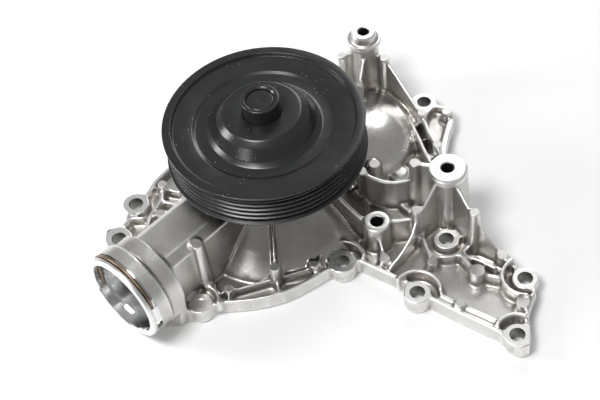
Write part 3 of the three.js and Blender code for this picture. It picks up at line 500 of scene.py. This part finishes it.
def domeSkin():
    d = housingShape["dome"]
    deselectAll()
    bpy.ops.mesh.primitive_uv_sphere_add(segments=96, ring_count=48, radius=mm,
                                         location=spot(d["x"], d["y"], d["z"]),
                                         rotation=(0, 0, radians(d["turn"])),
                                         scale=(d["length"], d["width"], d["rise"]))
    piece = bpy.context.object
    settle(piece)
    bpy.ops.object.mode_set(mode="EDIT")
    bpy.ops.mesh.select_all(action="SELECT")
    bpy.ops.mesh.bisect(plane_co=spot(0, 0, d["z"]), plane_no=(0, 0, 1), clear_inner=True)
    bpy.ops.object.mode_set(mode="OBJECT")
    wall = piece.modifiers.new("wall", "SOLIDIFY")
    wall.thickness = d["wall"] * mm
    wall.offset = -1
    applyModifiers(piece)
    return piece


def addRounds(piece):
    # true rounds over the frame's flat sides, so that the skin comes out smooth
    s, n = housingShape, neckShape
    rounds = [hubSkin(), domeSkin(), neckDisc(n["bodyEnd"], n["barrelEnd"] + 1, n["body"] / 2),
              neckDisc(n["barrelEnd"], n["front"], n["rim"] / 2)]
    for x, y, ring in s["seats"]:
        rounds.append(addDisc(x, y, s["foot"], s["bossTop"], ring / 2))
    x, y, ring, dimple = s["blindSeat"]
    rounds.append(addDisc(x, y, s["foot"], s["bossTop"], ring / 2))
    for x, y, top, width in s["pins"]:
        spread = (top - s["foot"]) * s["pinDraft"]
        rounds.append(addDisc(x, y, s["foot"], top, width / 2 + spread, 40, width / 2))
    for x, y, top, hole, flat, profile in s["towers"]:
        closed = [(0, profile[0][1])] + profile + [(0, profile[-1][1])]
        rounds.append(turnedPiece("towerRound", closed, 72, (x, y)))
    return joined([piece] + rounds)


def makeHousing():
    piece = addRounds(copyOfNode("castHousing", "pump_housing"))
    voxel = housingShape["voxel"] * mm
    for grow in (housingShape["fillet"], -housingShape["fillet"] - housingShape["inset"]):
        skin = piece.modifiers.new("skin", "REMESH")
        skin.mode = "VOXEL"
        skin.voxel_size = voxel
        push = piece.modifiers.new("push", "DISPLACE")
        push.mid_level = 0
        push.strength = grow * mm
        applyModifiers(piece)
    skin = piece.modifiers.new("skin", "REMESH")
    skin.mode = "VOXEL"
    skin.voxel_size = voxel
    soften = piece.modifiers.new("soften", "SMOOTH")
    soften.factor = 0.5
    soften.iterations = housingShape["smoothing"]
    applyModifiers(piece)
    print("housing skin", len(piece.data.polygons))
    curvature = measureCurvature(piece)
    thin = piece.modifiers.new("thin", "DECIMATE")
    thin.ratio = min(1.0, housingShape["faces"] / (2 * len(piece.data.polygons)))
    applyModifiers(piece)
    print("housing thinned", len(piece.data.polygons))
    machineHousing(piece)
    spreadCurvature(piece, curvature)
    print("housing machined", len(piece.data.polygons))
    return piece


def measureCurvature(piece):
    # how far each point stands out from its neighbours: above zero on edges, below in corners
    mesh = piece.data
    count = len(mesh.vertices)
    place = np.empty(count * 3)
    normal = np.empty(count * 3)
    mesh.vertices.foreach_get("co", place)
    mesh.vertices.foreach_get("normal", normal)
    place, normal = place.reshape(-1, 3), normal.reshape(-1, 3)
    ends = np.empty(len(mesh.edges) * 2, dtype=np.int64)
    mesh.edges.foreach_get("vertices", ends)
    first, second = ends.reshape(-1, 2).T
    degree = np.bincount(ends, minlength=count).clip(1)

    def neighbourMean(values):
        total = np.bincount(first, values[second], count) + np.bincount(second, values[first], count)
        return total / degree

    mean = np.column_stack([neighbourMean(place[:, k]) for k in range(3)])
    bulge = ((place - mean) * normal).sum(1) / mm
    for _ in range(3):
        bulge = 0.5 * bulge + 0.5 * neighbourMean(bulge)
    return place, bulge / max(1e-6, np.percentile(np.abs(bulge), 98))


def spreadCurvature(piece, curvature):
    place, bulge = curvature
    tree = KDTree(len(place))
    for i, point in enumerate(place):
        tree.insert(point, i)
    tree.balance()
    mesh = piece.data
    values = np.array([bulge[tree.find(v.co)[1]] for v in mesh.vertices])
    # the attribute gives edge wear on convex edges and painted shade in concave corners
    layer = mesh.attributes.new("edgeWearAndCornerShade", "FLOAT", "POINT")
    layer.data.foreach_set("value", np.clip(values, -1, 1))


def neckBlock(start, end, side, low, high, halfWidth):
    # a square block across the neck's wall
    deselectAll()
    bpy.ops.mesh.primitive_cube_add(size=mm, location=neckSpot((start + end) / 2, side, (low + high) / 2),
                                    rotation=(0, 0, neckShape["heading"]),
                                    scale=(end - start, halfWidth * 2, high - low))
    piece = bpy.context.object
    settle(piece)
    return piece


def grooveRing():
    n = neckShape
    end = n["front"] - n["rimWidth"]
    start = end - n["grooveWidth"]
    ring = neckDisc(start, end, n["rim"] / 2 + 2)
    cutAway(ring, neckDisc(start - 1, end + 1, n["rim"] / 2 - n["grooveDepth"]))
    cutAway(ring, neckBlock(start - 2, end + 2, 0, -40, n["height"] - n["grooveRise"], 60))
    return ring


def mouthPocket():
    n = neckShape
    pocket = neckDisc(n["front"] - n["reliefDepth"], n["front"] + 4, n["reliefRadius"])
    inward, across = neckAxis()
    middle = neckSpot(n["front"] - 4, 0, n["height"])
    for angle, keepsLeft in ((n["reliefFrom"], 1), (n["reliefTo"], -1)):
        out = across * cos(radians(angle)) + Vector((0, 0, sin(radians(angle))))
        useOnly(pocket)
        bpy.ops.object.mode_set(mode="EDIT")
        bpy.ops.mesh.select_all(action="SELECT")
        bpy.ops.mesh.bisect(plane_co=middle, plane_no=out.cross(inward) * keepsLeft, use_fill=True,
                            clear_outer=True)
        bpy.ops.object.mode_set(mode="OBJECT")
    return pocket


def machineHousing(piece):
    s, n = housingShape, neckShape
    for x, y, top, hole, flat, profile in s["towers"]:
        high = [point for point in profile if point[1] > top - 9]
        if len(high) < 3:
            continue
        low = (high[0][0] - 0.5, high[0][1] - 2)
        cap = [(0, low[1]), low] + high + [(0, high[-1][1])]
        merge(piece, turnedPiece("cap", rounded(cap, 0.3, 3), 72, (x, y)))
    # the pins' tops, then the faces and holes of the bolt seats
    cutAway(piece, joined([addDisc(x, y, top - s["pinFacing"], top + 2, width / 2 + s["pinMargin"], 32)
                           for x, y, top, width in s["pins"]]))
    cutAway(piece, joined([addDisc(x, y, s["seatHeight"], 16, ring / 2 + s["seatMargin"])
                           for x, y, ring in s["seats"]]))
    cutAway(piece, joined([addDisc(x, y, -2, 16, s["boltHole"] / 2, 48) for x, y, ring in s["seats"]]))
    x, y, ring, dimple = s["blindSeat"]
    cutAway(piece, addDisc(x, y, s["seatHeight"], 12, ring / 2 - 0.6))
    cutAway(piece, addDisc(x, y, s["seatHeight"] - s["dimpleDepth"], 12, dimple / 2, 48))
    # top face, screw hole and its chamfer on each tall boss
    for x, y, top, hole, flat, profile in s["towers"]:
        cutAway(piece, addDisc(x, y, top, top + 6, flat + 1.5))
        cutAway(piece, addDisc(x, y, -2, top + 4, hole / 2, 48))
        cutAway(piece, addDisc(x, y, top - 0.6, top + 0.1, hole / 2 - 0.05, 48, hole / 2 + 0.65))
    # the neck: mouth face, bore, passage, clip groove, pocket and slots
    past = n["front"] + 6
    cutAway(piece, neckDisc(n["front"] - n["rimFacing"], past, n["rim"], 64))
    cutAway(piece, neckDisc(n["front"] - n["boreDepth"], past, n["bore"] / 2))
    cutAway(piece, neckDisc(n["passageEnd"], n["front"], n["passage"] / 2, 96))
    cutAway(piece, grooveRing())
    cutAway(piece, mouthPocket())
    cut = n["slot"]
    for side in (-cut["side"], cut["side"]):
        cutAway(piece, neckBlock(cut["from"], cut["to"], side, cut["low"], cut["high"], cut["half"]))
    # the flat face that meets the engine
    deselectAll()
    bpy.ops.mesh.primitive_cube_add(size=0.6, location=spot(0, 0, s["base"] - 300))
    base = bpy.context.object
    settle(base)
    cutAway(piece, base)


def faceTable(mesh):
    count = len(mesh.polygons)
    centre = np.empty(count * 3)
    normal = np.empty(count * 3)
    mesh.polygons.foreach_get("center", centre)
    mesh.polygons.foreach_get("normal", normal)
    centre = (centre.reshape(-1, 3) - np.array(shaftAt)) / mm
    return centre, normal.reshape(-1, 3)


def markMachined(piece):
    # slot 0 is the cast skin, 1 turned faces, 2 the neck's bore, 3 drilled holes, 4 the pins' tops
    s, n = housingShape, neckShape
    near = 0.05
    centre, normal = faceTable(piece.data)
    slotOf = np.zeros(len(centre), dtype=np.int32)
    flatUp = normal[:, 2] > 0.995
    upright = np.abs(normal[:, 2]) < 0.05
    for x, y, ring in s["seats"]:
        away = np.hypot(centre[:, 0] - x, centre[:, 1] - y)
        level = np.abs(centre[:, 2] - s["seatHeight"]) < 0.03
        slotOf[flatUp & level & (away < ring / 2 + s["seatMargin"])] = 1
        slotOf[upright & (away < s["boltHole"] / 2 + near)] = 3
    for x, y, top, hole, flat, profile in s["towers"]:
        away = np.hypot(centre[:, 0] - x, centre[:, 1] - y)
        slotOf[flatUp & (np.abs(centre[:, 2] - top) < 0.03) & (away < flat + 2)] = 1
        slotOf[upright & (away < hole / 2 + near)] = 3
    slotOf[(normal[:, 2] < -0.995) & (centre[:, 2] < s["base"] + near)] = 1
    inward, across = neckAxis()
    along = -(centre[:, 0] * inward.x + centre[:, 1] * inward.y)
    side = centre[:, 0] * across.x + centre[:, 1] * across.y - n["offset"]
    away = np.hypot(side, centre[:, 2] - n["height"])
    slotOf[(along > n["front"] - n["boreDepth"] - 0.1) & (away < n["bore"] / 2 + near)] = 2
    slotOf[(along > n["front"] - n["reliefDepth"] - 0.1) & (away < n["reliefRadius"] + near)] = 2
    slotOf[(along > n["front"] - 0.35) & (away < n["rim"] / 2 + 1) & (away > n["bore"] / 2 + 0.1)] = 1
    for x, y, top, width in s["pins"]:
        away = np.hypot(centre[:, 0] - x, centre[:, 1] - y)
        slotOf[flatUp & (np.abs(centre[:, 2] - top + s["pinFacing"]) < 0.03) & (away < width / 2 + 0.5)] = 4
    piece.data.polygons.foreach_set("material_index", slotOf)
    return slotOf


def crispEdges(piece, slotOf, angle=30):
    # machined borders stay sharp, the cast skin stays soft
    mesh = piece.data
    work = bmesh.new()
    work.from_mesh(mesh)
    work.faces.ensure_lookup_table()
    for edge in work.edges:
        if len(edge.link_faces) != 2:
            continue
        a, b = edge.link_faces
        cut = slotOf[a.index] + slotOf[b.index] > 0
        if cut and edge.calc_face_angle(0) > radians(angle):
            edge.smooth = False
    for face in work.faces:
        face.smooth = True
    work.to_mesh(mesh)
    work.free()
    weigh = piece.modifiers.new("weigh", "WEIGHTED_NORMAL")
    weigh.keep_sharp = True
    weigh.weight = 60
    applyModifiers(piece)


castHousing = makeHousing()
seatCentres = [spot(place[0], place[1], 0) for place in housingShape["seats"] + housingShape["towers"]]
castHousing.data.materials.clear()
# the drilled holes' dark grey colour is painted shade, standing in for the shade deep inside the holes
for skin in (castSkin(), turnedSkin("turnedAluminium", (0.8, 0.795, 0.78), 0.4, seatCentres, 0.5),
             boredSkin(), grainedMetal("drilledAluminiumPaintedShade", (0.34, 0.335, 0.325), 0.34),
             grainedMetal("pinTops", (0.66, 0.65, 0.63), 0.42, 1200)):
    castHousing.data.materials.append(skin)
crispEdges(castHousing, markMachined(castHousing))
dress(castHousing, "housing", "cast_aluminium", "pump_housing")
print("housing dressed")

# pulley and hub: corners are radius, height and, where it matters, the rounding
pulleyShape = {"outer": 58.5, "ridge": 57.2, "root": 54.2, "top": 88, "bottom": 65, "pitch": 3.56,
               "firstGroove": 2.62, "grooves": 6, "lipInner": 53.5, "sheet": 2.6}


def pulleyProfile():
    p = pulleyShape
    rim = [(p["lipInner"], p["top"], 0.5), (p["outer"], p["top"], 0.55)]
    for i in range(p["grooves"]):
        middle = p["top"] - p["firstGroove"] - i * p["pitch"]
        crest = p["outer"] if i == 0 else p["ridge"]
        foot = p["outer"] if i == p["grooves"] - 1 else p["ridge"]
        rim += [(crest, middle + 1.48, 0.28), (p["root"], middle + 0.3, 0.3), (p["root"], middle - 0.3, 0.3),
                (foot, middle - 1.48, 0.28)]
    inner = p["root"] - p["sheet"]
    rim += [(p["outer"], p["bottom"], 0.6), (inner, p["bottom"], 0.6), (inner, 81.6, 2.5)]
    under = [(40, 81.4, 2), (33, 81.4, 3), (28.6, 84.2, 3), (22.5, 92.4, 2), (19.6, 93.4, 1)]
    over = [(11.35, 93.4, 0.2), (11.35, 96, 0.4), (22.6, 96, 2.6), (26.4, 92.6, 3), (30.4, 86.3, 3),
            (33.4, 84.05, 2.4), (39.6, 84.05, 1.2), (41.6, 85.1, 1.2), (49.8, 86.05, 0.6), (52.5, 86.05, 0.5)]
    return rim + under + over


beltPulley = turnedPiece("beltPulley", rounded(pulleyProfile(), 0.3), 200)
coat = blackCoat()
beltPulley.data.materials.append(coat)
dress(beltPulley, "rotor", "black_coat", "pulley")

hubShape = [(8.1, 89.9), (13.2, 89.9, 0.6), (13.4, 93.05, 0.2), (11.15, 93.05, 0.1), (11.15, 106, 1.0),
            (9.2, 106, 0.4), (8.1, 105.1, 0.3)]
hubCap = turnedPiece("hubCap", rounded(hubShape, 0.3), 96)
hubCap.data.materials.append(coat)
dress(hubCap, "rotor", "black_coat", "pulley_hub")

shaftShape = [(0, 2.6), (6, 2.6, 0.8), (6, 18.6, 0.2), (7.95, 18.6, 0.4), (7.95, 104.8, 0.9), (0, 104.8)]
pumpShaft = turnedPiece("pumpShaft", rounded(shaftShape, 0.3), 96)
groundSteel = grainedMetal("groundSteel", (0.72, 0.73, 0.74), 0.2)
pumpShaft.data.materials.append(groundSteel)
pumpShaft.data.materials.append(coat)
centre, normal = faceTable(pumpShaft.data)
pumpShaft.data.polygons.foreach_set("material_index", (centre[:, 2] > 92).astype(np.int32))
dress(pumpShaft, "rotor", "bearing_steel", "drive_shaft")
print("pulley, hub cap and shaft ready")

clipShape = {"wire": 2.2, "middle": 111.3, "radius": 27.0, "leg": 22.8, "reach": 10.5, "steps": 40}


def makeClip():
    c = clipShape
    bend = acos(c["leg"] / c["radius"])
    points = [(c["leg"], -c["reach"]), (c["leg"], 0)]
    for i in range(c["steps"] + 1):
        angle = bend + (pi - 2 * bend) * i / c["steps"]
        points.append((c["radius"] * cos(angle), c["radius"] * sin(angle)))
    points += [(-c["leg"], 0), (-c["leg"], -c["reach"])]
    line = bpy.data.curves.new("hoseClip", "CURVE")
    line.dimensions = "3D"
    line.bevel_depth = c["wire"] / 2 * mm * 0.98
    line.bevel_resolution = 6
    line.use_fill_caps = True
    run = line.splines.new("POLY")
    run.points.add(len(points) - 1)
    for point, (side, height) in zip(run.points, points):
        point.co = (*neckSpot(c["middle"], side, neckShape["height"] + height), 1)
    piece = bpy.data.objects.new("hoseClip", line)
    bpy.context.scene.collection.objects.link(piece)
    useOnly(piece)
    bpy.ops.object.convert(target="MESH")
    piece = bpy.context.object
    bpy.ops.object.shade_smooth_by_angle(angle=radians(50))
    return piece


hoseClip = makeClip()
hoseClip.data.materials.append(grainedMetal("springSteel", (0.26, 0.195, 0.14), 0.3))
dress(hoseClip, "hose_clip", "spring_steel", "hose_retaining_clip")
print("hose clip ready")

# inner pieces keep the frame's shape
rubberSkin = mouldedSkin("blackRubber", (0.02, 0.02, 0.02), 0.7)
plasticSkin = mouldedSkin("mouldedPlastic", (0.03, 0.03, 0.032), 0.5)
carbonSkin = mouldedSkin("carbonFace", (0.03, 0.03, 0.032), 0.42, 0.2, 0.01)
ceramicSkin = mouldedSkin("ceramicFace", (0.2, 0.19, 0.18), 0.25, 0.2, 0.005)
nylonSkin = mouldedSkin("cageNylon", (0.62, 0.56, 0.42), 0.5)
brassSkin = grainedMetal("drawnBrass", (0.72, 0.52, 0.24), 0.3)
innerSkins = {
    "bearing_outer_ring": groundSteel, "bearing_front_seal": rubberSkin, "bearing_rear_seal": rubberSkin,
    "ball_cage": nylonSkin, "roller_cage": nylonSkin, "seal_cup": brassSkin, "seal_bellows": rubberSkin,
    "seal_spring": groundSteel, "seal_carbon_ring": carbonSkin, "seal_seat_ring": ceramicSkin,
    "seal_seat_gasket": rubberSkin, "impeller": plasticSkin, "impeller_insert": groundSteel,
    "weep_hole_plug": plasticSkin,
}
for name, node in nodes.items():
    rolls = name.startswith(("bearing_ball", "bearing_roller"))
    skin = groundSteel if rolls else innerSkins.get(name)
    if skin is None:
        continue
    for slot in node.material_slots:
        slot.material = skin
print("inner pieces dressed")
